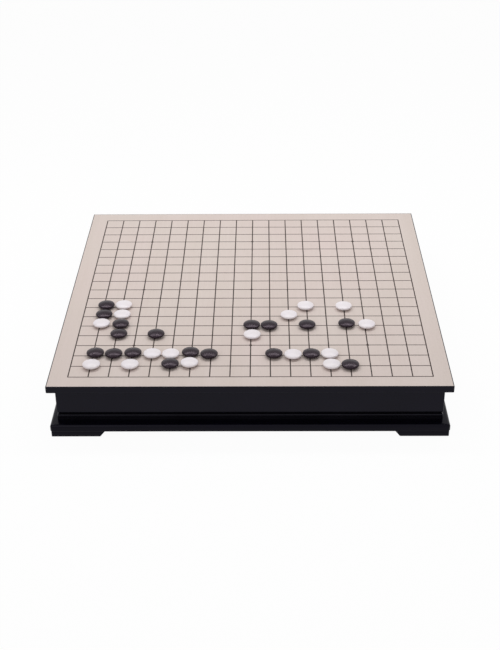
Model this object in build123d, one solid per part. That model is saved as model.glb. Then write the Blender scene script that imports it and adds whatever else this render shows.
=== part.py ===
"""Go board with two stone drawers: a square game board on a low lacquered case.

Millimetres. +Z is up, the front of the board faces -Y and the origin is the
middle of the underside, on the surface that the feet stand on.
"""
from build123d import *
import os

# ---------------------------------------------------------------- playing grid
line_count = 19             # lines each way
line_pitch = 20.1           # from one line to the next
line_width = 1.2
line_depth = 0.3            # depth of the inlaid lines in the veneer
star_diameter = 3.4
star_line_count = 6         # lines from one star point to the next
star_count = 3              # star points each way
side_margin = 19.3          # outermost line to the slab's edge, left and right on average
end_margin = 18.7           # the same, front and rear
grid_shift_right = 0.5      # the lines lie this far from the middle of the slab
grid_shift_forward = 0.5

# -------------------------------------------------------------------- top slab
slab_thickness = 7.6
slab_upper_radius = 0.7     # eased upper edge
slab_lower_radius = 1.2     # eased lower edge
slab_corner_radius = 0.8
veneer_rim = 1.0            # lacquered rim left round the veneer
veneer_thickness = 0.8

# ------------------------------------------------------------------------ case
slab_overhang = 7.6         # slab edge to the face of the case, all round
panel_height = 27.8         # side panels and drawer fronts
side_panel_thickness = 9.0
divider_thickness = 8.0
shadow_groove_height = 2.5
shadow_groove_depth = 3.0
floor_edge_height = 5.7     # beaded edge below the shadow groove
floor_edge_radius = 0.7
bead_groove_width = 0.7     # line between the two beads
bead_groove_depth = 0.6
upper_bead_height = 2.8
case_corner_radius = 1.0

# ------------------------------------------------------------ base plate, feet
base_side_ledge = 6.7       # case face to the base plate's edge, left and right
base_front_ledge = 10.7     # the same, front and rear
base_thickness = 7.7
base_edge_radius = 3.0      # rounded upper edge
base_under_radius = 1.0
base_corner_radius = 3.0
foot_height = 6.5
foot_length = 54.0
foot_wall = 9.0
foot_slope = 5.2            # run of the sloping inner end of a foot
foot_inset = 0.9

# --------------------------------------------------------------------- drawers
drawer_front_thickness = 8.7
drawer_front_radius = 0.6   # eased edges of a drawer front
front_gap = 0.3             # round a closed drawer front
slide_gap = 0.3             # drawer box to the case floor it slides on
drawer_side_gap = 0.5       # drawer box to a side panel
drawer_rear_gap = 2.0       # drawer box to the centre divider
drawer_wall = 6.0
drawer_wall_height = 24.0
drawer_bottom_thickness = 3.0
drawer_bottom_lift = 2.0    # lower edge of the walls to the drawer bottom
bottom_groove_depth = 3.0
drawer_travel = 140.0
stop_length = 60.0
stop_thickness = 8.0
stop_overlap = 2.5          # how far a stop reaches below the drawer's back
stop_gap = 0.3

# ---------------------------------------------------------------------- screws
screw_head_diameter = 7.0
screw_head_height = 2.2
screw_shank_diameter = 3.5
screw_reach = 5.5           # length of thread in the case floor
screw_clearance = 0.1
screw_edge_distance = 24.0  # from the case's faces to the outer screws
screw_columns = 3
screw_rows = 3

# ---------------------------------------------------------------------- stones
stone_spacing = 1.8         # gap between stones that lie just on neighbouring points
stone_thickness = 6.2
stone_rim = 2.8             # height of the rounded rim
stone_seat_gap = 0.05
# Each stone: column from the left, row from the far edge, and how far it
# lies off its point, to the right and away from the front.
white_stones = (
    (2, 11, 1.7, 0.5), (12, 11, -1.4, -2.2), (14, 11, -0.3, -3.2), (2, 12, 2.0, -0.2),
    (11, 12, 0.3, -2.1), (1, 13, 2.0, 0.7), (15, 13, 1.8, -2.4), (9, 14, 1.4, -3.0),
    (4, 16, 0.5, -0.4), (5, 16, -0.7, -1.0), (11, 16, 3.0, -2.6), (13, 16, 0.1, -1.3),
    (1, 17, 1.2, -1.0), (3, 17, -0.2, -0.9), (6, 17, -1.0, 2.1), (13, 17, 1.1, -1.4),
)
black_stones = (
    (1, 11, 2.9, 0.4), (1, 12, 2.7, 0.2), (2, 13, 2.5, -0.4), (9, 13, 0.8, -3.0),
    (10, 13, -0.9, -3.9), (12, 13, -0.9, -2.8), (14, 13, 0.8, -0.2), (2, 14, 2.6, -0.8),
    (4, 14, 1.4, -1.3), (1, 16, 2.6, 1.3), (2, 16, 1.4, -0.2), (3, 16, 0.8, 1.4),
    (6, 16, -0.8, 2.2), (7, 16, -1.9, -1.2), (10, 16, 3.7, -0.8), (12, 16, 1.5, -1.2),
    (5, 17, -0.2, 0.3), (14, 17, -0.4, -2.0),
)

# --------------------------------------------------------------- shaping limits
cut_overrun = 1.0           # how far a cutting block reaches past what it cuts
level_tolerance = 0.01      # edges this near a height count as level with it

# --------------------------------------------- sizes that follow from the above
grid_span = (line_count - 1) * line_pitch
slab_width = grid_span + 2 * side_margin
slab_depth = grid_span + 2 * end_margin
case_width = slab_width - 2 * slab_overhang
case_depth = slab_depth - 2 * slab_overhang
base_width = case_width + 2 * base_side_ledge
base_depth = case_depth + 2 * base_front_ledge

base_bottom = foot_height
floor_bottom = base_bottom + base_thickness
groove_bottom = floor_bottom + floor_edge_height
floor_top = groove_bottom + shadow_groove_height
slab_bottom = floor_top + panel_height
slab_top = slab_bottom + slab_thickness
veneer_bottom = slab_top - veneer_thickness
line_bottom = slab_top - line_depth

stone_diameter = line_pitch - stone_spacing

inner_width = case_width - 2 * side_panel_thickness
panel_end = case_depth / 2 - drawer_front_thickness - front_gap
drawer_half_width = inner_width / 2 - drawer_side_gap
drawer_start = -(case_depth / 2 - drawer_front_thickness)
drawer_end = -(divider_thickness / 2 + drawer_rear_gap)
wall_bottom = floor_top + slide_gap
wall_top = wall_bottom + drawer_wall_height
bottom_level = wall_bottom + drawer_bottom_lift
bottom_top = bottom_level + drawer_bottom_thickness


def block(x_range, y_range, z_range):
    """A rectangular block between pairs of coordinates."""
    (x0, x1), (y0, y1), (z0, z1) = x_range, y_range, z_range
    centre = Pos((x0 + x1) / 2, (y0 + y1) / 2, (z0 + z1) / 2)
    return centre * Box(x1 - x0, y1 - y0, z1 - z0)


def plate(width, depth, z0, z1):
    """A level plate centred on the origin."""
    return block((-width / 2, width / 2), (-depth / 2, depth / 2), (z0, z1))


def rounded_plate(width, depth, z0, z1, corner_radius):
    """A level plate with rounded upright corners."""
    outline = RectangleRounded(width, depth, corner_radius)
    return Pos(0, 0, z0) * extrude(outline, z1 - z0)


def level_edges(shape, z):
    """The edges of a shape that lie at one height."""
    low, high = z - level_tolerance, z + level_tolerance
    return shape.edges().filter_by_position(Axis.Z, low, high)


# ------------------------------------------------------------------ base, feet
def screw_places():
    """Screw positions: a rectangle of screws with none in the middle."""
    half_x = case_width / 2 - screw_edge_distance
    half_y = case_depth / 2 - screw_edge_distance
    places = []
    for column in range(screw_columns):
        for row in range(screw_rows):
            x = half_x * (2 * column / (screw_columns - 1) - 1)
            y = half_y * (2 * row / (screw_rows - 1) - 1)
            on_rim = column in (0, screw_columns - 1) or row in (0, screw_rows - 1)
            if on_rim:
                places.append((x, y))
    return places


def screw(clearance=0.0):
    """One countersunk screw, or with a clearance the hole that holds it."""
    head_radius = screw_head_diameter / 2 + clearance
    shank_radius = screw_shank_diameter / 2 + clearance
    length = base_thickness + screw_reach + clearance
    profile = Polyline(
        (0, 0),
        (head_radius, 0),
        (shank_radius, screw_head_height + clearance),
        (shank_radius, length),
        (0, length),
        close=True,
    )
    return revolve(Plane.XZ * make_face(profile), Axis.Z)


def screws(clearance=0.0):
    """All the base screws, driven upwards from the base plate's underside."""
    shape = screw(clearance)
    return [Pos(x, y, base_bottom) * shape for x, y in screw_places()]


def base_plate():
    """The plinth board, with a rounded edge all round."""
    shape = rounded_plate(base_width, base_depth, base_bottom, floor_bottom, base_corner_radius)
    shape = fillet(level_edges(shape, floor_bottom), base_edge_radius)
    shape = fillet(level_edges(shape, base_bottom), base_under_radius)
    return shape - screws(screw_clearance)


def foot():
    """The front left bracket foot: two mitred walls with sloping inner ends."""
    x0 = -base_width / 2 + foot_inset
    y0 = -base_depth / 2 + foot_inset
    short = foot_length - foot_slope
    profile = Polyline(
        (0, 0), (short, 0), (foot_length, foot_height), (0, foot_height), close=True
    )
    face = make_face(profile)
    along_x = Pos(x0, y0 + foot_wall, 0) * extrude(Plane.XZ * face, foot_wall)
    along_y = Pos(x0, y0, 0) * extrude(Plane.YZ * face, foot_wall)
    return along_x + along_y


# ------------------------------------------------------------------------ case
def beaded_edge_cut():
    """The line that runs round the edge of the case floor between its two beads."""
    middle = groove_bottom - upper_bead_height
    low, high = middle - bead_groove_width / 2, middle + bead_groove_width / 2
    inner_w = case_width - 2 * bead_groove_depth
    inner_d = case_depth - 2 * bead_groove_depth
    outer_w = case_width + 2 * cut_overrun
    outer_d = case_depth + 2 * cut_overrun
    around = plate(outer_w, outer_d, low, high)
    return around - plate(inner_w, inner_d, low - cut_overrun, high + cut_overrun)


def case_floor():
    """The board that the drawers slide on, with a beaded edge and a shadow groove above it."""
    edge = rounded_plate(case_width, case_depth, floor_bottom, groove_bottom, case_corner_radius)
    edge = fillet(level_edges(edge, groove_bottom), floor_edge_radius)
    rim_width = case_width - 2 * shadow_groove_depth
    rim_depth = case_depth - 2 * shadow_groove_depth
    shape = edge + plate(rim_width, rim_depth, floor_bottom, floor_top)
    return shape - beaded_edge_cut() - screws(screw_clearance)


def side_panel(side):
    """The left (-1) or right (+1) side of the case."""
    outer = side * case_width / 2
    inner = side * inner_width / 2
    x_range = (min(outer, inner), max(outer, inner))
    return block(x_range, (-panel_end, panel_end), (floor_top, slab_bottom))


def centre_divider():
    """The wall between the two drawers."""
    half = divider_thickness / 2
    x_range = (-inner_width / 2, inner_width / 2)
    return block(x_range, (-half, half), (floor_top, slab_bottom))


def drawer_stop():
    """A block under the slab that the back of the front drawer meets at full travel."""
    back_face = drawer_end - drawer_wall - drawer_travel - stop_gap
    y_range = (back_face - stop_thickness, back_face)
    x_range = (-stop_length / 2, stop_length / 2)
    return block(x_range, y_range, (wall_top - stop_overlap, slab_bottom))


# ------------------------------------------------------------------------- top
def top_slab():
    """The lacquered slab, with a shallow bed for the veneer."""
    shape = rounded_plate(slab_width, slab_depth, slab_bottom, slab_top, slab_corner_radius)
    shape = fillet(level_edges(shape, slab_bottom), slab_lower_radius)
    shape = fillet(level_edges(shape, slab_top), slab_upper_radius)
    bed_width = slab_width - 2 * veneer_rim
    bed_depth = slab_depth - 2 * veneer_rim
    return shape - plate(bed_width, bed_depth, veneer_bottom, slab_top + cut_overrun)


def line_place(number):
    """Distance of a grid line from the middle of the grid; line 0 is the first."""
    return (number - (line_count - 1) / 2) * line_pitch


def grid_place():
    """Where the middle of the grid lies on the slab."""
    return Pos(grid_shift_right, -grid_shift_forward, 0)


def star_places():
    """The nine star points, about the middle of the grid."""
    steps = [(number - (star_count - 1) / 2) * star_line_count for number in range(star_count)]
    return [(a * line_pitch, b * line_pitch) for a in steps for b in steps]


def grid_lines():
    """The inlaid lines and star points, as one lattice flush with the veneer."""
    half = grid_span / 2 + line_width / 2
    across = []
    along = []
    for number in range(line_count):
        low = line_place(number) - line_width / 2
        high = line_place(number) + line_width / 2
        across.append(block((-half, half), (low, high), (line_bottom, slab_top)))
        along.append(block((low, high), (-half, half), (line_bottom, slab_top)))
    dot = extrude(Circle(star_diameter / 2), line_depth)
    dots = [Pos(x, y, line_bottom) * dot for x, y in star_places()]
    return grid_place() * across[0].fuse(*across[1:], *along, *dots)


def playing_surface(lines):
    """The pale veneer, cut to take the lines."""
    sheet_width = slab_width - 2 * veneer_rim
    sheet_depth = slab_depth - 2 * veneer_rim
    return plate(sheet_width, sheet_depth, veneer_bottom, slab_top) - lines


# --------------------------------------------------------------------- drawers
def bottom_panel():
    """The drawer bottom, whose edges sit in grooves; the back stands on it."""
    half = drawer_half_width - drawer_wall + bottom_groove_depth
    y_range = (drawer_start - bottom_groove_depth, drawer_end)
    return block((-half, half), y_range, (bottom_level, bottom_top))


def drawer_front():
    """The front panel, which covers the ends of the case's side panels."""
    x_range = (-case_width / 2, case_width / 2)
    y_range = (-case_depth / 2, drawer_start)
    z_range = (floor_top + front_gap, slab_bottom - front_gap)
    shape = block(x_range, y_range, z_range)
    outer = shape.faces().sort_by(Axis.Y)[0]
    shape = fillet(outer.edges(), drawer_front_radius)
    return shape - bottom_panel()


def drawer_side(side):
    """The left (-1) or right (+1) wall of the front drawer."""
    outer = side * drawer_half_width
    inner = side * (drawer_half_width - drawer_wall)
    x_range = (min(outer, inner), max(outer, inner))
    shape = block(x_range, (drawer_start, drawer_end), (wall_bottom, wall_top))
    return shape - bottom_panel()


def drawer_back():
    """The rear wall, between the side walls and on the bottom panel."""
    half = drawer_half_width - drawer_wall
    y_range = (drawer_end - drawer_wall, drawer_end)
    return block((-half, half), y_range, (bottom_top, wall_top))


def drawer_pieces():
    """The five boards of the front drawer, by name."""
    return {
        "front": drawer_front(),
        "left_side": drawer_side(-1),
        "right_side": drawer_side(1),
        "back": drawer_back(),
        "bottom": bottom_panel(),
    }


# ---------------------------------------------------------------------- stones
def stone():
    """One stone: domed above and below, with a rounded rim; it stands on z = 0."""
    radius = stone_diameter / 2
    rim = stone_rim / 2
    middle = stone_thickness / 2
    dome = middle - rim
    rim_radius = radius - rim
    # Height of the dome halfway out, on the circle through its top and its rim.
    sphere = (rim_radius ** 2 + dome ** 2) / (2 * dome)
    half_out = rim_radius / 2
    drop = sphere - (sphere ** 2 - half_out ** 2) ** 0.5
    lower = ThreePointArc((0, 0), (half_out, drop), (rim_radius, dome))
    edge = ThreePointArc(
        (rim_radius, dome), (radius, middle), (rim_radius, stone_thickness - dome)
    )
    upper = ThreePointArc(
        (rim_radius, stone_thickness - dome),
        (half_out, stone_thickness - drop),
        (0, stone_thickness),
    )
    axis = Line((0, stone_thickness), (0, 0))
    profile = make_face([lower, edge, upper, axis])
    return revolve(Plane.XZ * profile, Axis.Z)


def placed_stones(layout, name):
    """Every stone of one colour on its point, by name."""
    shape = stone()
    pieces = {}
    for number, (column, row, right, away) in enumerate(layout, start=1):
        x = line_place(column) + right
        y = -line_place(row) + away
        place = grid_place() * Pos(x, y, slab_top + stone_seat_gap)
        pieces[f"{name}_{number:02d}"] = place * shape
    return pieces


# --------------------------------------------------------------------- assembly
def all_pieces():
    """Every piece of the board, by the name of its node."""
    turned = Rot(0, 0, 180)
    left_foot = foot()
    right_foot = mirror(left_foot, Plane.YZ)
    lines = grid_lines()
    pieces = {
        "base_plate": base_plate(),
        "foot_front_left": left_foot,
        "foot_front_right": right_foot,
        "foot_rear_left": turned * right_foot,
        "foot_rear_right": turned * left_foot,
        "base_screws": Compound(children=screws()),
        "case_floor": case_floor(),
        "left_side_panel": side_panel(-1),
        "right_side_panel": side_panel(1),
        "centre_divider": centre_divider(),
        "front_drawer_stop": drawer_stop(),
        "rear_drawer_stop": turned * drawer_stop(),
        "top_slab": top_slab(),
        "playing_surface": playing_surface(lines),
        "grid_lines": lines,
    }
    # The rear drawer is the front one turned about: its left is seen from behind.
    for name, shape in drawer_pieces().items():
        pieces["front_drawer_" + name] = shape
        pieces["rear_drawer_" + name] = turned * shape
    pieces.update(placed_stones(white_stones, "white_stone"))
    pieces.update(placed_stones(black_stones, "black_stone"))
    return pieces


os.makedirs("parts", exist_ok=True)
for node, piece in all_pieces().items():
    export_step(piece, f"parts/{node}.step")
print("height", round(slab_top, 2), "slab", slab_width, slab_depth)
print("case", case_width, case_depth, "base", base_width, base_depth)
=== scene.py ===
"""Finishes, turned stones, joinery and stage for a go board with stone drawers."""
import math

import bmesh
import bpy
from bpy.props import FloatProperty, FloatVectorProperty, IntProperty, PointerProperty
from bpy.types import Operator, Panel, PropertyGroup
from mathutils import Matrix, Vector


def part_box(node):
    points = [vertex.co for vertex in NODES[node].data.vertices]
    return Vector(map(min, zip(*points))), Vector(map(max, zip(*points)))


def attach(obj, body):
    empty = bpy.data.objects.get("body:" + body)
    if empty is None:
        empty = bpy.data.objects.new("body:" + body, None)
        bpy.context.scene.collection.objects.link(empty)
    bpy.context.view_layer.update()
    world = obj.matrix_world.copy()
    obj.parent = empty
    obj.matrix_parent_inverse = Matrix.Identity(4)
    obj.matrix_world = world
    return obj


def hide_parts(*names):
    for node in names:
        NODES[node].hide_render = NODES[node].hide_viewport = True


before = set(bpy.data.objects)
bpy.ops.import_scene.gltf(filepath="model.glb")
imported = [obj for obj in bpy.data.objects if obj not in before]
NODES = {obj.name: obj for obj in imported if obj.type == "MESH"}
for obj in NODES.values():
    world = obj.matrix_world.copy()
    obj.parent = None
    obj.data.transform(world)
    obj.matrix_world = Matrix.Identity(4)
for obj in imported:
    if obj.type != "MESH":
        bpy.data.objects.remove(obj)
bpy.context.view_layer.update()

bl_info = {
    "name": "Go Board with Stone Drawers",
    "version": (1, 0, 0),
    "blender": (4, 5, 0),
    "location": "3D View > Sidebar > Go Board",
    "description": "Builds the finishes, stones, joinery and stage of a go board with drawers",
    "category": "Object",
}

STONE_COLOURS = ("white", "black")
DRAWERS = ("front_drawer", "rear_drawer")
FEET = ("foot_front_left", "foot_front_right", "foot_rear_left", "foot_rear_right")
LACQUERED = ("top_slab", "front_drawer_front", "rear_drawer_front")
SIDE_PANELS = ("left_side_panel", "right_side_panel")
INNER_BOARDS = ("centre_divider", "front_drawer_stop", "rear_drawer_stop")

UP = Vector((0, 0, 1))
SAME_PLACE = 1e-6                  # metres within which two places count as one
LEAST_BEND = 0.2                   # radians between two faces, above which their edge is rounded
ROUNDING_STEPS = 3                 # faces across a rounded edge
BOARD_CREASE = math.radians(40)    # bend above which a shaded edge stays crisp
SCREW_CREASE = math.radians(25)
SENSOR_HEIGHT = 36.0               # millimetres, along the longer side of the picture
NEAREST_VIEW = 0.01                # metres in front of the camera


# ------------------------------------------------------------------- settings
class VeneerSettings(PropertyGroup):
    """The pale sheet that carries the grid, and the lines inlaid in it."""

    light: FloatVectorProperty(
        name="Light tone", description="Colour of the wood between the grain",
        subtype="COLOR", min=0, max=1, default=(0.655, 0.571, 0.528))
    dark: FloatVectorProperty(
        name="Grain tone", description="Colour of the grain",
        subtype="COLOR", min=0, max=1, default=(0.575, 0.492, 0.434))
    grain_width: FloatProperty(
        name="Grain width", description="Usual width of one streak of grain",
        unit="LENGTH", default=0.0018)
    grain_length: FloatProperty(
        name="Grain length", description="Usual length of one streak of grain",
        unit="LENGTH", default=0.09)
    ink: FloatVectorProperty(
        name="Line colour", description="Colour of the lines and star points",
        subtype="COLOR", min=0, max=1, default=(0.022, 0.011, 0.009))


class LacquerSettings(PropertyGroup):
    """The black lacquer on the case."""

    colour: FloatVectorProperty(
        name="Colour", description="Colour under the gloss",
        subtype="COLOR", min=0, max=1, default=(0.0012, 0.0010, 0.0032))
    sheen_tint: FloatVectorProperty(
        name="Gloss tint", description="Tint of the reflections in the gloss",
        subtype="COLOR", min=0, max=1, default=(0.84, 0.81, 1.0))
    # The moulding colour is the lacquer's colour lightened as painted sheen on the beads; the coat
    # itself is the same lacquer.
    moulding_colour_painted_sheen: FloatVectorProperty(
        name="Moulding colour", description="Colour of the duller coat on the beaded edge",
        subtype="COLOR", min=0, max=1, default=(0.0036, 0.0033, 0.0052))
    roughness: FloatProperty(
        name="Roughness", description="Roughness of the polished surface",
        subtype="FACTOR", min=0, max=1, default=0.16)
    gloss: FloatProperty(
        name="Gloss", description="Strength of the reflections from the beaded edge upwards",
        subtype="FACTOR", min=0, max=1, default=0.16)
    base_gloss: FloatProperty(
        name="Base gloss", description="Strength of the reflections on the base plate and the feet",
        subtype="FACTOR", min=0, max=1, default=0.11)
    peel_size: FloatProperty(
        name="Ripple size", description="Width of one ripple in the sprayed coat",
        unit="LENGTH", default=0.0022)
    edge_radius: FloatProperty(
        name="Edge radius", description="Rounding of the edges of the side panels",
        unit="LENGTH", default=0.0006)


class DrawerSettings(PropertyGroup):
    """The stained boards inside the case and the drawers."""

    stain: FloatVectorProperty(
        name="Stain", description="Colour of the stained wood",
        subtype="COLOR", min=0, max=1, default=(0.034, 0.029, 0.027))
    grain: FloatVectorProperty(
        name="Grain", description="Colour of its grain",
        subtype="COLOR", min=0, max=1, default=(0.016, 0.0135, 0.0125))
    edge_radius: FloatProperty(
        name="Edge radius", description="Sanded rounding of a board's edges",
        unit="LENGTH", default=0.0004)


class FootSettings(PropertyGroup):
    """The four bracket feet."""

    wall: FloatProperty(
        name="Wall", description="Thickness of a foot's two walls",
        unit="LENGTH", default=0.009)
    slope: FloatProperty(
        name="Slope", description="Run of the sloping inner ends",
        unit="LENGTH", default=0.0052)
    edge_radius: FloatProperty(
        name="Edge radius", description="Rounding of a foot's edges",
        unit="LENGTH", default=0.0008)


class ScrewSettings(PropertyGroup):
    """The countersunk screws in the base plate."""

    head_diameter: FloatProperty(
        name="Head", description="Diameter of a screw's head",
        unit="LENGTH", default=0.007)
    recess_width: FloatProperty(
        name="Recess width", description="Width of one arm of the cross recess",
        unit="LENGTH", default=0.0009)
    recess_reach: FloatProperty(
        name="Recess reach", description="Length of one arm from the middle",
        unit="LENGTH", default=0.0021)
    recess_depth: FloatProperty(
        name="Recess depth", description="Depth of the cross recess",
        unit="LENGTH", default=0.0012)
    recess_taper: FloatProperty(
        name="Recess taper", description="Width of the recess's floor as a share of its mouth",
        subtype="FACTOR", min=0, max=1, default=0.6)
    steps: IntProperty(
        name="Steps", description="Sides of a screw's round outline",
        min=8, default=24)
    shank_diameter: FloatProperty(
        name="Shank", description="Diameter over the thread",
        unit="LENGTH", default=0.0035)
    head_height: FloatProperty(
        name="Head height", description="Depth of the countersunk head",
        unit="LENGTH", default=0.0022)


class StoneSettings(PropertyGroup):
    """The playing stones."""

    rim: FloatProperty(
        name="Rim", description="Height of the rounded rim",
        unit="LENGTH", default=0.0028)
    steps: IntProperty(
        name="Steps", description="Sides of a stone before it is smoothed",
        min=12, default=32)
    dome_steps: IntProperty(
        name="Dome steps", description="Rings of faces from the middle of a dome to the rim",
        min=3, default=6)
    rim_steps: IntProperty(
        name="Rim steps", description="Rings of faces round the rim",
        min=2, default=4)
    white: FloatVectorProperty(
        name="White", description="Colour of the white stones",
        subtype="COLOR", min=0, max=1, default=(0.84, 0.785, 0.825))
    black: FloatVectorProperty(
        name="Black", description="Colour of the black stones",
        subtype="COLOR", min=0, max=1, default=(0.007, 0.003, 0.006))
    black_sheen: FloatVectorProperty(
        name="Black sheen", description="Tint of the reflections on the black stones",
        subtype="COLOR", min=0, max=1, default=(1.0, 0.80, 0.95))


class StageSettings(PropertyGroup):
    """The floor, the lamps and the camera."""

    floor: FloatVectorProperty(
        name="Floor", description="Colour of the floor",
        subtype="COLOR", min=0, max=1, default=(0.93, 0.93, 0.93))
    floor_size: FloatProperty(
        name="Floor size", description="Width of the floor",
        unit="LENGTH", default=12.0)
    floor_drop: FloatProperty(
        name="Floor drop", description="Gap that keeps the floor clear of the feet's undersides",
        unit="LENGTH", default=0.0002)
    plain_floor: FloatProperty(
        name="Plain floor", description="Share of the floor's look that takes no shadow",
        subtype="FACTOR", min=0, max=1, default=0.96)
    ambient: FloatProperty(
        name="Ambient", description="Strength of the light from all round",
        min=0, default=0.48)
    key_place: FloatVectorProperty(
        name="Key place", description="Where the key lamp hangs, over the rear of the board",
        subtype="TRANSLATION", unit="LENGTH", default=(0.0, 0.17, 0.74))
    key_target: FloatVectorProperty(
        name="Key target", description="The point that the key lamp faces",
        subtype="TRANSLATION", unit="LENGTH", default=(0.0, 0.1, 0.0))
    key_length: FloatProperty(
        name="Key length", description="Length of the key lamp, across the board",
        unit="LENGTH", default=1.2)
    key_width: FloatProperty(
        name="Key width", description="Width of the key lamp",
        unit="LENGTH", default=0.10)
    key_watts: FloatProperty(
        name="Key", description="Power of the key lamp",
        unit="POWER", min=0, default=3.5)
    fill_place: FloatVectorProperty(
        name="Fill place", description="Where the fill lamp hangs, to the left of the camera",
        subtype="TRANSLATION", unit="LENGTH", default=(-0.9, -1.4, 1.3))
    fill_target: FloatVectorProperty(
        name="Fill target", description="The point that the fill lamp faces",
        subtype="TRANSLATION", unit="LENGTH", default=(0.0, 0.0, 0.0))
    fill_size: FloatProperty(
        name="Fill size", description="Width and height of the fill lamp",
        unit="LENGTH", default=1.2)
    fill_watts: FloatProperty(
        name="Fill", description="Power of the fill lamp",
        unit="POWER", min=0, default=5.0)
    camera_place: FloatVectorProperty(
        name="Camera", description="Where the camera stands",
        subtype="TRANSLATION", unit="LENGTH", default=(0.01457, -1.18910, 0.70341))
    camera_turn: FloatProperty(
        name="Turn", description="Camera's turn to the left of straight ahead",
        subtype="ANGLE", default=math.radians(0.781))
    camera_tilt: FloatProperty(
        name="Tilt", description="Camera's tilt below the horizon",
        subtype="ANGLE", default=math.radians(30.191))
    camera_roll: FloatProperty(
        name="Roll", description="Camera's roll about its line of sight",
        subtype="ANGLE", default=math.radians(-0.536))
    lens: FloatProperty(
        name="Lens", description="Focal length for a sensor 36 mm high",
        subtype="DISTANCE_CAMERA", default=66.933)


# -------------------------------------------------------------- shading helpers
class Shader:
    """A new material and short ways to add its nodes and links."""

    def __init__(self, name):
        self.material = bpy.data.materials.new(name)
        self.material.use_nodes = True
        self.tree = self.material.node_tree
        self.surface = self.tree.nodes["Principled BSDF"]
        self.output = self.tree.nodes["Material Output"]
        self.place = self.add("ShaderNodeTexCoord").outputs["Object"]

    def add(self, kind, **values):
        """A node, with its properties and inputs given by name."""
        node = self.tree.nodes.new(kind)
        for key, value in values.items():
            label = key.replace("_", " ")
            matches = [s for s in node.inputs if s.name.lower() == label]
            if not matches:
                setattr(node, key, value)
            elif isinstance(value, bpy.types.NodeSocket):
                self.tree.links.new(value, matches[0])
            else:
                matches[0].default_value = value
        return node

    def link(self, source, target):
        """Joins an output to an input."""
        self.tree.links.new(source, target)

    def noise(self, size, detail=3.0, stretch=(1, 1, 1), roughness=0.5, shift=0.0):
        """Noise whose usual feature is `size` metres, stretched along each axis."""
        scale = [1 / (size * s) for s in stretch]
        mapping = self.add("ShaderNodeMapping", vector=self.place, scale=scale,
                           location=(shift, shift, shift))
        noise = self.add("ShaderNodeTexNoise", vector=mapping.outputs["Vector"], scale=1.0,
                         detail=detail, roughness=roughness)
        return noise.outputs["Fac"]

    def span(self, value, low, high, start=0.3, end=0.7):
        """Maps a value to a new span; most of a noise lies between the usual start and end."""
        node = self.add("ShaderNodeMapRange", value=value, from_min=start, from_max=end,
                        to_min=low, to_max=high)
        return node.outputs["Result"]

    def blend(self, factor, first, second):
        """Mixes two colours, either of which may be a socket."""
        node = self.add("ShaderNodeMix", data_type="RGBA")
        # A mix node lists its sockets for numbers, vectors and colours one after another.
        factor_in, first_in, second_in = node.inputs[0], node.inputs[6], node.inputs[7]
        colour_out = node.outputs[2]
        self.link(factor, factor_in)
        for socket, value in ((first_in, first), (second_in, second)):
            if isinstance(value, bpy.types.NodeSocket):
                self.link(value, socket)
            else:
                socket.default_value = (*value, 1)
        return colour_out

    def bump(self, height, strength, distance):
        """Raises the surface by a height pattern."""
        node = self.add("ShaderNodeBump", height=height, strength=strength, distance=distance)
        self.link(node.outputs["Normal"], self.surface.inputs["Normal"])

    def set(self, name, value):
        """Gives an input of the surface a value or a socket."""
        socket = self.surface.inputs[name]
        if isinstance(value, bpy.types.NodeSocket):
            self.link(value, socket)
        else:
            socket.default_value = value


def shared(name, make, *arguments):
    """A material by name, made the first time that it is asked for."""
    return bpy.data.materials.get(name) or make(name, *arguments)


# -------------------------------------------------------------------- finishes
def lacquer_material(name, settings, colour, gloss):
    """Black lacquer: nearly flat, with a faint ripple and a trace of dust."""
    dust_size, haze_size, wear_size = 0.00035, 0.045, 0.03
    ripple_height = 0.00008
    shader = Shader(name)
    dust = shader.span(shader.noise(dust_size, detail=2.0), 0.0, 1.0, 0.66, 0.74)
    haze = shader.span(shader.noise(haze_size, detail=4.0, shift=3.0), 0.0, 1.0)
    base = tuple(colour)
    lighter = tuple(c * 1.5 for c in base)
    dusty = tuple(c + 0.006 for c in base)
    shader.set("Base Color", shader.blend(dust, shader.blend(haze, base, lighter), dusty))
    wear = shader.noise(wear_size, detail=5.0, shift=9.0)
    polished, dull = settings.roughness * 0.85, settings.roughness * 1.35
    shader.set("Roughness", shader.span(wear, polished, dull))
    shader.set("Specular IOR Level", gloss)
    shader.set("Specular Tint", (*settings.sheen_tint, 1))
    shader.bump(shader.noise(settings.peel_size, detail=1.0), 0.06, ripple_height)
    return shader.material


def gloss_lacquer(settings):
    """The polished coat on the slab, the side panels and the drawer fronts."""
    return shared("black_lacquer_gloss", lacquer_material,
                  settings, settings.colour, settings.gloss)


def moulding_lacquer_painted_sheen(settings):
    """The gloss lacquer in and round the beads of the case floor, with a lighter colour as painted
    sheen.
    """
    return shared("black_lacquer_moulding", lacquer_material,
                  settings, settings.moulding_colour_painted_sheen, settings.gloss)


def base_lacquer(settings):
    """The coat on the base plate and the feet."""
    return shared("black_lacquer_base", lacquer_material,
                  settings, settings.colour, settings.base_gloss)


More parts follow.
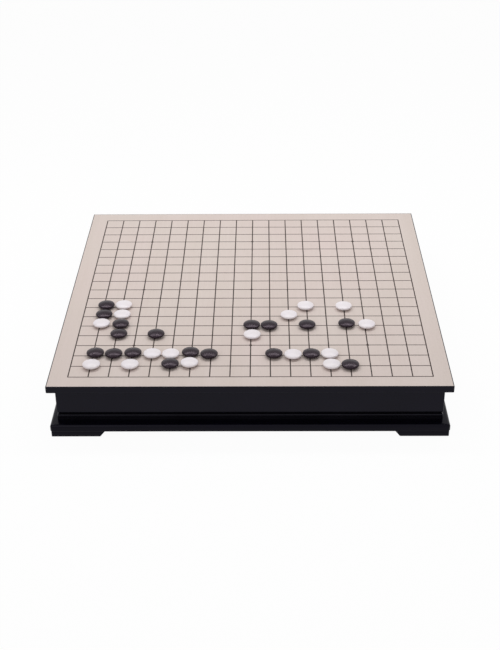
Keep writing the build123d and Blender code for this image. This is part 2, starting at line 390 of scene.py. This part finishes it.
def veneer_material(name, settings):
    """Pale satin veneer with fine straight grain that runs away from the player."""
    width, length = settings.grain_width, settings.grain_length
    band_width, cloud_size, pore_width = width * 14, 0.11, 0.00035
    band_stretch, pore_stretch = (1, 9, 1), (1, 22, 1)
    grain_height = 0.00012
    shader = Shader(name)
    fine = shader.noise(width, detail=4.0, stretch=(1, length / width, 1), roughness=0.6)
    broad = shader.noise(band_width, detail=2.0, stretch=band_stretch, shift=5.0)
    cloud = shader.noise(cloud_size, detail=3.0, shift=11.0)
    pores = shader.noise(pore_width, detail=1.0, stretch=pore_stretch, shift=2.0)
    light, dark = tuple(settings.light), tuple(settings.dark)
    pink = (light[0] * 1.01, light[1] * 0.975, light[2] * 0.995)
    pore_tone = tuple(c * 0.80 for c in dark)
    clouded = shader.blend(shader.span(cloud, 0.0, 1.0), light, pink)
    banded = shader.blend(shader.span(broad, 0.0, 0.35), clouded, dark)
    streaked = shader.blend(shader.span(fine, 0.0, 0.18, 0.42, 0.72), banded, dark)
    pored = shader.blend(shader.span(pores, 0.0, 0.30, 0.60, 0.75), streaked, pore_tone)
    shader.set("Base Color", pored)
    shader.set("Roughness", shader.span(fine, 0.40, 0.52))
    shader.set("Specular IOR Level", 0.35)
    shader.bump(fine, 0.10, grain_height)
    return shader.material


def ink_material(name, settings):
    """Dark printed ink, a little uneven in strength."""
    patch_size, sheen_size, fleck_size = 0.004, 0.0011, 0.0006
    fleck_height = 0.00006
    shader = Shader(name)
    tone = shader.span(shader.noise(patch_size, detail=4.0), 0.0, 1.0)
    ink = tuple(settings.ink)
    worn = tuple(c * 1.7 + 0.008 for c in ink)
    shader.set("Base Color", shader.blend(tone, ink, worn))
    shader.set("Roughness", shader.span(shader.noise(sheen_size), 0.48, 0.66))
    shader.set("Specular IOR Level", 0.25)
    shader.bump(shader.noise(fleck_size, detail=2.0), 0.12, fleck_height)
    return shader.material


def stained_wood_material(name, settings, along):
    """Dark stained wood whose grain runs along one axis."""
    streak_width, band_width, lengthening = 0.0011, 0.012, 26
    grain_height = 0.0002
    shader = Shader(name)
    stretch = [lengthening if axis == along else 1 for axis in "XYZ"]
    fine = shader.noise(streak_width, detail=5.0, stretch=stretch, roughness=0.62)
    broad = shader.noise(band_width, detail=3.0, stretch=stretch, shift=4.0)
    stain, grain = tuple(settings.stain), tuple(settings.grain)
    banded = shader.blend(shader.span(broad, 0.0, 0.6), stain, grain)
    shader.set("Base Color", shader.blend(shader.span(fine, 0.0, 0.9), banded, grain))
    shader.set("Roughness", shader.span(fine, 0.42, 0.62))
    shader.set("Specular IOR Level", 0.3)
    shader.bump(fine, 0.22, grain_height)
    return shader.material


def wood_across(settings):
    """Stained wood whose grain runs from side to side."""
    return shared("stained_wood_across", stained_wood_material, settings, "X")


def wood_along(settings):
    """Stained wood whose grain runs from front to rear."""
    return shared("stained_wood_along", stained_wood_material, settings, "Y")


def white_stone_material(name, settings):
    """Polished opaque white with faint clouding."""
    cloud_size, sheen_size, ripple_size = 0.009, 0.0035, 0.0014
    ripple_height = 0.00008
    shader = Shader(name)
    cloud = shader.span(shader.noise(cloud_size, detail=4.0), 0.0, 1.0)
    white = tuple(settings.white)
    warm = (white[0] * 0.985, white[1] * 0.985, white[2] * 0.955)
    sheen = shader.noise(sheen_size, detail=3.0, shift=6.0)
    shader.set("Base Color", shader.blend(cloud, white, warm))
    shader.set("Roughness", shader.span(sheen, 0.26, 0.36))
    shader.set("Specular IOR Level", 0.4)
    shader.bump(shader.noise(ripple_size, detail=2.0), 0.03, ripple_height)
    return shader.material


def black_stone_material(name, settings):
    """Satin black with a soft, broad shine."""
    cloud_size, sheen_size, ripple_size = 0.006, 0.003, 0.0009
    ripple_height = 0.00008
    shader = Shader(name)
    cloud = shader.span(shader.noise(cloud_size, detail=4.0), 0.0, 1.0)
    black = tuple(settings.black)
    lighter = tuple(c * 1.3 for c in black)
    sheen = shader.noise(sheen_size, detail=4.0, shift=6.0)
    shader.set("Base Color", shader.blend(cloud, black, lighter))
    shader.set("Roughness", shader.span(sheen, 0.22, 0.30))
    shader.set("Specular IOR Level", 0.26)
    shader.set("Specular Tint", (*settings.black_sheen, 1))
    shader.bump(shader.noise(ripple_size, detail=3.0), 0.05, ripple_height)
    return shader.material


def screw_material(name):
    """Dull zinc plating with fine turning marks."""
    patch_size, sheen_size, mark_size = 0.0012, 0.0008, 0.0003
    mark_height = 0.00005
    bright, dull = (0.42, 0.41, 0.37), (0.27, 0.265, 0.25)
    shader = Shader(name)
    tone = shader.span(shader.noise(patch_size, detail=4.0), 0.0, 1.0)
    shader.set("Base Color", shader.blend(tone, bright, dull))
    shader.set("Metallic", 1.0)
    shader.set("Roughness", shader.span(shader.noise(sheen_size), 0.30, 0.48))
    shader.bump(shader.noise(mark_size, detail=2.0), 0.15, mark_height)
    return shader.material


# ------------------------------------------------------------- modelling helpers
def assign(node, material):
    """Gives a packed node its finish."""
    for slot in NODES[node].material_slots:
        slot.material = material


def size_of(node):
    """Lowest corner, highest corner and size of a packed node."""
    low, high = (Vector(corner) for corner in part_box(node))
    return low, high, high - low


def finished_piece(name, shape, material, body, node):
    """Turns a bmesh into a piece that rides on a body and stands for a packed node."""
    mesh = bpy.data.meshes.new(name)
    shape.to_mesh(mesh)
    shape.free()
    mesh.materials.append(material)
    piece = bpy.data.objects.new(name, mesh)
    bpy.context.scene.collection.objects.link(piece)
    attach(piece, body)
    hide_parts(node)
    return piece


def smooth(piece, crease=BOARD_CREASE):
    """Shades a piece smooth, with edges that bend more than a crease kept crisp."""
    piece.data.shade_smooth()
    piece.data.set_sharp_from_angle(angle=crease)


def round_edges(mesh, edges, radius):
    """Bevels some edges of a mesh into small arcs."""
    bmesh.ops.bevel(mesh, geom=edges, offset=radius, offset_type="OFFSET",
                    segments=ROUNDING_STEPS, profile=0.5, affect="EDGES", material=-1,
                    clamp_overlap=True)


def round_all_edges(mesh, radius):
    """Bevels every edge that has two faces at an angle."""
    edges = [e for e in mesh.edges if e.is_manifold and e.calc_face_angle() > LEAST_BEND]
    round_edges(mesh, edges, radius)


def extruded(mesh, outline, direction):
    """A closed solid from a flat outline pushed along a direction."""
    face = mesh.faces.new([mesh.verts.new(point) for point in outline])
    result = bmesh.ops.extrude_face_region(mesh, geom=[face])
    moved = [item for item in result["geom"] if isinstance(item, bmesh.types.BMVert)]
    bmesh.ops.translate(mesh, verts=moved, vec=direction)
    bmesh.ops.recalc_face_normals(mesh, faces=mesh.faces)


def turned(mesh, outline, centre, steps):
    """Spins a half outline of distances and heights about an upright axis."""
    verts = [mesh.verts.new((centre.x + across, centre.y, centre.z + rise))
             for across, rise in outline]
    edges = [mesh.edges.new(pair) for pair in zip(verts, verts[1:])]
    bmesh.ops.spin(mesh, geom=verts + edges, cent=centre, axis=UP, dvec=(0, 0, 0),
                   angle=2 * math.pi, steps=steps, use_merge=True)
    bmesh.ops.remove_doubles(mesh, verts=mesh.verts, dist=SAME_PLACE)


def board(node, material, body, radius):
    """A plain board with eased edges, in the place of a packed one."""
    low, high, size = size_of(node)
    mesh = bmesh.new()
    bmesh.ops.create_cube(mesh, size=1.0)
    bmesh.ops.scale(mesh, vec=size, verts=mesh.verts)
    bmesh.ops.translate(mesh, vec=(low + high) / 2, verts=mesh.verts)
    round_all_edges(mesh, radius)
    smooth(finished_piece("eased_" + node, mesh, material, body, node))


def grooved_wall(node, panel_node, material, body, radius):
    """A drawer's side wall, with the groove that holds the drawer bottom."""
    low, high, size = size_of(node)
    panel_low, panel_high, _ = size_of(panel_node)
    if high.x < (panel_low.x + panel_high.x) / 2:
        outside, inside, depth = low.x, high.x, panel_low.x
    else:
        outside, inside, depth = high.x, low.x, panel_high.x
    outline = [
        (outside, low.y, low.z), (inside, low.y, low.z),
        (inside, low.y, panel_low.z), (depth, low.y, panel_low.z),
        (depth, low.y, panel_high.z), (inside, low.y, panel_high.z),
        (inside, low.y, high.z), (outside, low.y, high.z),
    ]
    mesh = bmesh.new()
    extruded(mesh, outline, Vector((0, size.y, 0)))
    top_and_outside = [e for e in mesh.edges
                       if all(abs(v.co.z - high.z) < SAME_PLACE for v in e.verts)
                       or all(abs(v.co.x - outside) < SAME_PLACE for v in e.verts)]
    round_edges(mesh, top_and_outside, radius)
    smooth(finished_piece("eased_" + node, mesh, material, body, node))


def foot_mesh(node, settings):
    """A mitred bracket foot in the corner that its node stands in."""
    low, high, size = size_of(node)
    sign_x = 1 if low.x + high.x < 0 else -1
    sign_y = 1 if low.y + high.y < 0 else -1
    corner = Vector((low.x if sign_x > 0 else high.x, low.y if sign_y > 0 else high.y, low.z))
    short = size.x - settings.slope
    wall = settings.wall
    plan = [(0, 0), (short, 0), (short, wall), (wall, wall), (wall, short), (0, short)]
    outline = [corner + Vector((x * sign_x, y * sign_y, 0)) for x, y in plan]
    mesh = bmesh.new()
    extruded(mesh, outline, Vector((0, 0, size.z)))
    for vert in mesh.verts:
        if vert.co.z < high.z - SAME_PLACE:
            continue
        if abs((vert.co.x - corner.x) * sign_x - short) < SAME_PLACE:
            vert.co.x += settings.slope * sign_x
        if abs((vert.co.y - corner.y) * sign_y - short) < SAME_PLACE:
            vert.co.y += settings.slope * sign_y
    round_all_edges(mesh, settings.edge_radius)
    bmesh.ops.recalc_face_normals(mesh, faces=mesh.faces)
    return mesh


def stone_mesh(low, high, settings):
    """A stone turned from its half outline: two domes and a rounded rim."""
    radius = (high.x - low.x) / 2
    half = (high.z - low.z) / 2
    rim = settings.rim / 2
    edge = radius - rim
    dome = half - rim
    sphere = (edge ** 2 + dome ** 2) / (2 * dome)
    outline = []
    for step in range(settings.dome_steps + 1):
        across = edge * step / settings.dome_steps
        rise = half - (sphere - math.sqrt(sphere ** 2 - across ** 2))
        outline.append((across, rise))
    upper_dome = list(outline)
    for step in range(1, settings.rim_steps):
        turn = math.pi / 2 - math.pi * step / settings.rim_steps
        outline.append((edge + rim * math.cos(turn), rim * math.sin(turn)))
    outline += [(across, -rise) for across, rise in reversed(upper_dome)]
    mesh = bmesh.new()
    turned(mesh, outline, (low + high) / 2, settings.steps)
    bmesh.ops.recalc_face_normals(mesh, faces=mesh.faces)
    return mesh


def cross_outline(middle, width, reach):
    """The twelve corners of a cross, in order."""
    half = width / 2
    arm = [(reach, -half), (reach, half), (half, half)]
    corners = []
    for quarter in range(4):
        turn = Matrix.Rotation(quarter * math.pi / 2, 3, "Z")
        corners += [middle + turn @ Vector((x, y, 0)) for x, y in arm]
    return corners


def screw_mesh(mesh, head_centre, length, settings):
    """Adds a countersunk screw with a cross recess; its head faces down."""
    head = settings.head_diameter / 2
    shank = settings.shank_diameter / 2
    profile = [(head, 0.0), (shank, settings.head_height), (shank, length - shank), (0.0, length)]
    turned(mesh, profile, head_centre, settings.steps)
    rim = [e for e in mesh.edges if e.is_boundary
           and all(abs(v.co.z - head_centre.z) < SAME_PLACE for v in e.verts)
           and (e.verts[0].co - head_centre).length < head + SAME_PLACE]
    corners = [mesh.verts.new(p)
               for p in cross_outline(head_centre, settings.recess_width, settings.recess_reach)]
    cross = [mesh.edges.new(pair) for pair in zip(corners, corners[1:] + corners[:1])]
    bmesh.ops.triangle_fill(mesh, edges=rim + cross, use_beauty=True)
    inner = [f for f in mesh.faces if all(v in corners for v in f.verts)]
    bmesh.ops.delete(mesh, geom=inner, context="FACES_ONLY")
    walls = bmesh.ops.extrude_edge_only(mesh, edges=cross)["geom"]
    deep = [item for item in walls if isinstance(item, bmesh.types.BMVert)]
    bmesh.ops.translate(mesh, verts=deep, vec=(0, 0, settings.recess_depth))
    narrow = Matrix.Diagonal((settings.recess_taper, settings.recess_taper, 1, 1))
    taper = Matrix.Translation(head_centre) @ narrow @ Matrix.Translation(-head_centre)
    bmesh.ops.transform(mesh, matrix=taper, verts=deep)
    floor_edges = [item for item in walls if isinstance(item, bmesh.types.BMEdge)]
    bmesh.ops.holes_fill(mesh, edges=floor_edges, sides=0)


# --------------------------------------------------------------- stage helpers
def seen_plainly(tree):
    """One for camera, glossy and transmission rays, and nought for light that falls on things."""
    rays = tree.nodes.new("ShaderNodeLightPath")
    seen = rays.outputs["Is Camera Ray"]
    for name in ("Is Glossy Ray", "Is Transmission Ray"):
        either = tree.nodes.new("ShaderNodeMath")
        either.operation = "MAXIMUM"
        tree.links.new(seen, either.inputs[0])
        tree.links.new(rays.outputs[name], either.inputs[1])
        seen = either.outputs[0]
    return seen


def floor_material(name, settings):
    """White floor: mostly plain to the camera, with the rest taking the soft shadow."""
    shader = Shader(name)
    shader.set("Base Color", (*settings.floor, 1))
    shader.set("Roughness", 0.9)
    shader.set("Specular IOR Level", 0.0)
    plain = shader.add("ShaderNodeEmission", color=(1, 1, 1, 1), strength=1.0)
    share = shader.add("ShaderNodeMath", operation="MULTIPLY")
    shader.link(seen_plainly(shader.tree), share.inputs[0])
    share.inputs[1].default_value = settings.plain_floor
    mix = shader.add("ShaderNodeMixShader")
    shader.link(share.outputs[0], mix.inputs[0])
    shader.link(shader.surface.outputs[0], mix.inputs[1])
    shader.link(plain.outputs[0], mix.inputs[2])
    shader.link(mix.outputs[0], shader.output.inputs["Surface"])
    return shader.material


def studio_floor(settings):
    """A wide flat floor just under the feet."""
    shape = bmesh.new()
    bmesh.ops.create_grid(shape, x_segments=1, y_segments=1, size=settings.floor_size / 2)
    bmesh.ops.translate(shape, verts=shape.verts, vec=-settings.floor_drop * UP)
    mesh = bpy.data.meshes.new("studio_floor")
    shape.to_mesh(mesh)
    shape.free()
    mesh.materials.append(shared("studio_floor", floor_material, settings))
    floor = bpy.data.objects.new("studio_floor", mesh)
    bpy.context.scene.collection.objects.link(floor)


def white_surroundings(settings):
    """A soft even light from all round, which looks plain white."""
    world = bpy.data.worlds.new("studio_world")
    world.use_nodes = True
    tree = world.node_tree
    strength = tree.nodes.new("ShaderNodeMapRange")
    strength.inputs["To Min"].default_value = settings.ambient
    strength.inputs["To Max"].default_value = 1.0
    background = tree.nodes["Background"]
    background.inputs["Color"].default_value = (1, 1, 1, 1)
    tree.links.new(seen_plainly(tree), strength.inputs["Value"])
    tree.links.new(strength.outputs["Result"], background.inputs["Strength"])
    bpy.context.scene.world = world


def soft_lamp(name, place, target, length, width, watts):
    """A rectangular lamp that faces a point."""
    light = bpy.data.lights.new(name, "AREA")
    light.shape = "RECTANGLE"
    light.size = length
    light.size_y = width
    light.energy = watts
    lamp = bpy.data.objects.new(name, light)
    lamp.location = place
    lamp.rotation_euler = (Vector(target) - Vector(place)).to_track_quat("-Z", "Y").to_euler()
    bpy.context.scene.collection.objects.link(lamp)


def studio_camera(settings):
    """The camera at the photograph's viewing angle."""
    lens = bpy.data.cameras.new("studio_camera")
    lens.lens = settings.lens
    lens.sensor_width = SENSOR_HEIGHT
    lens.clip_start = NEAREST_VIEW
    camera = bpy.data.objects.new("studio_camera", lens)
    turn = Matrix.Rotation(settings.camera_turn, 4, "Z")
    tilt = Matrix.Rotation(math.pi / 2 - settings.camera_tilt, 4, "X")
    roll = Matrix.Rotation(settings.camera_roll, 4, "Z")
    camera.rotation_euler = (turn @ tilt @ roll).to_euler()
    camera.location = settings.camera_place
    bpy.context.scene.collection.objects.link(camera)
    bpy.context.scene.camera = camera


# ------------------------------------------------------------------- operators
class GOBOARD_OT_stage(Operator):
    """Sets up the floor, the soft lamps and the camera."""

    bl_idname = "goboard.stage"
    bl_label = "Stage"

    def execute(self, context):
        settings = context.scene.goboard_stage
        studio_floor(settings)
        white_surroundings(settings)
        soft_lamp("key_lamp", settings.key_place, settings.key_target,
                  settings.key_length, settings.key_width, settings.key_watts)
        soft_lamp("fill_lamp", settings.fill_place, settings.fill_target,
                  settings.fill_size, settings.fill_size, settings.fill_watts)
        studio_camera(settings)
        context.scene.view_settings.view_transform = "Standard"
        return {"FINISHED"}


class GOBOARD_OT_playing_surface(Operator):
    """Gives the playing surface its veneer and its lines their ink."""

    bl_idname = "goboard.playing_surface"
    bl_label = "Playing surface"

    def execute(self, context):
        settings = context.scene.goboard_veneer
        assign("playing_surface", shared("pale_veneer_satin", veneer_material, settings))
        assign("grid_lines", shared("line_ink_dry", ink_material, settings))
        return {"FINISHED"}


class GOBOARD_OT_lacquer(Operator):
    """Lacquers the slab, drawer fronts, case floor and base plate, and builds the side panels."""

    bl_idname = "goboard.lacquer"
    bl_label = "Lacquered boards"

    def execute(self, context):
        settings = context.scene.goboard_lacquer
        lacquer = gloss_lacquer(settings)
        for node in LACQUERED:
            assign(node, lacquer)
        # The case floor takes the lacquer with a lighter colour, which is painted sheen on its
        # beads.
        assign("case_floor", moulding_lacquer_painted_sheen(settings))
        assign("base_plate", base_lacquer(settings))
        for node in SIDE_PANELS:
            board(node, lacquer, "case", settings.edge_radius)
        return {"FINISHED"}


class GOBOARD_OT_feet(Operator):
    """Builds the four bracket feet with softened edges."""

    bl_idname = "goboard.feet"
    bl_label = "Bracket feet"

    def execute(self, context):
        settings = context.scene.goboard_foot
        lacquer = base_lacquer(context.scene.goboard_lacquer)
        for node in FEET:
            mesh = foot_mesh(node, settings)
            smooth(finished_piece("bracket_" + node, mesh, lacquer, "case", node))
        return {"FINISHED"}


class GOBOARD_OT_inner_boards(Operator):
    """Builds the centre divider and the drawer stops in stained wood."""

    bl_idname = "goboard.inner_boards"
    bl_label = "Divider and stops"

    def execute(self, context):
        settings = context.scene.goboard_drawer
        wood = wood_across(settings)
        for node in INNER_BOARDS:
            board(node, wood, "case", settings.edge_radius)
        return {"FINISHED"}


class GOBOARD_OT_drawers(Operator):
    """Builds the walls, back and bottom of both drawers."""

    bl_idname = "goboard.drawers"
    bl_label = "Drawer boxes"

    def execute(self, context):
        settings = context.scene.goboard_drawer
        across, along = wood_across(settings), wood_along(settings)
        radius = settings.edge_radius
        for drawer in DRAWERS:
            bottom = drawer + "_bottom"
            for side in ("_left_side", "_right_side"):
                grooved_wall(drawer + side, bottom, along, drawer, radius)
            board(drawer + "_back", across, drawer, radius)
            board(bottom, across, drawer, radius)
        return {"FINISHED"}


class GOBOARD_OT_screws(Operator):
    """Builds the cross-head screws that hold the base plate."""

    bl_idname = "goboard.screws"
    bl_label = "Base screws"

    def execute(self, context):
        settings = context.scene.goboard_screw
        low, high, size = size_of("base_screws")
        inset = settings.head_diameter / 2
        columns = (low.x + inset, (low.x + high.x) / 2, high.x - inset)
        rows = (low.y + inset, (low.y + high.y) / 2, high.y - inset)
        places = [(x, y) for x in columns for y in rows]
        places.remove((columns[1], rows[1]))  # the plate has no screw in its middle
        mesh = bmesh.new()
        for x, y in places:
            screw_mesh(mesh, Vector((x, y, low.z)), size.z, settings)
        bmesh.ops.recalc_face_normals(mesh, faces=mesh.faces)
        zinc = shared("screw_zinc", screw_material)
        screws = finished_piece("cross_head_screws", mesh, zinc, "case", "base_screws")
        smooth(screws, SCREW_CREASE)
        return {"FINISHED"}


class GOBOARD_OT_stones(Operator):
    """Turns every white and black stone in its place on the board."""

    bl_idname = "goboard.stones"
    bl_label = "Stones"

    def execute(self, context):
        settings = context.scene.goboard_stone
        finishes = {
            "white": shared("white_stone_polished", white_stone_material, settings),
            "black": shared("black_stone_satin", black_stone_material, settings),
        }
        for colour in STONE_COLOURS:
            nodes = sorted(name for name in NODES if name.startswith(colour + "_stone_"))
            for node in nodes:
                low, high, _ = size_of(node)
                mesh = stone_mesh(low, high, settings)
                piece = finished_piece("turned_" + node, mesh, finishes[colour],
                                       colour + "_stones", node)
                piece.data.shade_smooth()
                rounding = piece.modifiers.new("rounding", "SUBSURF")
                rounding.levels = 1
                rounding.render_levels = 1
        return {"FINISHED"}


SETTINGS = {
    "goboard_veneer": VeneerSettings,
    "goboard_lacquer": LacquerSettings,
    "goboard_drawer": DrawerSettings,
    "goboard_foot": FootSettings,
    "goboard_screw": ScrewSettings,
    "goboard_stone": StoneSettings,
    "goboard_stage": StageSettings,
}
OPERATORS = (
    GOBOARD_OT_stage,
    GOBOARD_OT_playing_surface,
    GOBOARD_OT_lacquer,
    GOBOARD_OT_feet,
    GOBOARD_OT_inner_boards,
    GOBOARD_OT_drawers,
    GOBOARD_OT_screws,
    GOBOARD_OT_stones,
)


# ---------------------------------------------------------- panel and registration
class GOBOARD_PT_panel(Panel):
    """Lists the steps that build the board's looks and their settings."""

    bl_idname = "GOBOARD_PT_panel"
    bl_label = "Go Board"
    bl_space_type = "VIEW_3D"
    bl_region_type = "UI"
    bl_category = "Go Board"

    def draw(self, context):
        for name, group in SETTINGS.items():
            box = self.layout.box()
            box.label(text=group.__doc__)
            for prop in group.__annotations__:
                box.prop(getattr(context.scene, name), prop)
        for operator in OPERATORS:
            self.layout.operator(operator.bl_idname)


def register():
    for group in SETTINGS.values():
        bpy.utils.register_class(group)
    for name, group in SETTINGS.items():
        setattr(bpy.types.Scene, name, PointerProperty(type=group))
    for operator in OPERATORS:
        bpy.utils.register_class(operator)
    bpy.utils.register_class(GOBOARD_PT_panel)


def unregister():
    bpy.utils.unregister_class(GOBOARD_PT_panel)
    for operator in reversed(OPERATORS):
        bpy.utils.unregister_class(operator)
    for name in SETTINGS:
        delattr(bpy.types.Scene, name)
    for group in reversed(SETTINGS.values()):
        bpy.utils.unregister_class(group)


def main():
    """Builds everything."""
    register()
    for operator in OPERATORS:
        step = operator.bl_idname.split(".")[1]
        getattr(bpy.ops.goboard, step)()


if __name__ == "__main__":
    main()
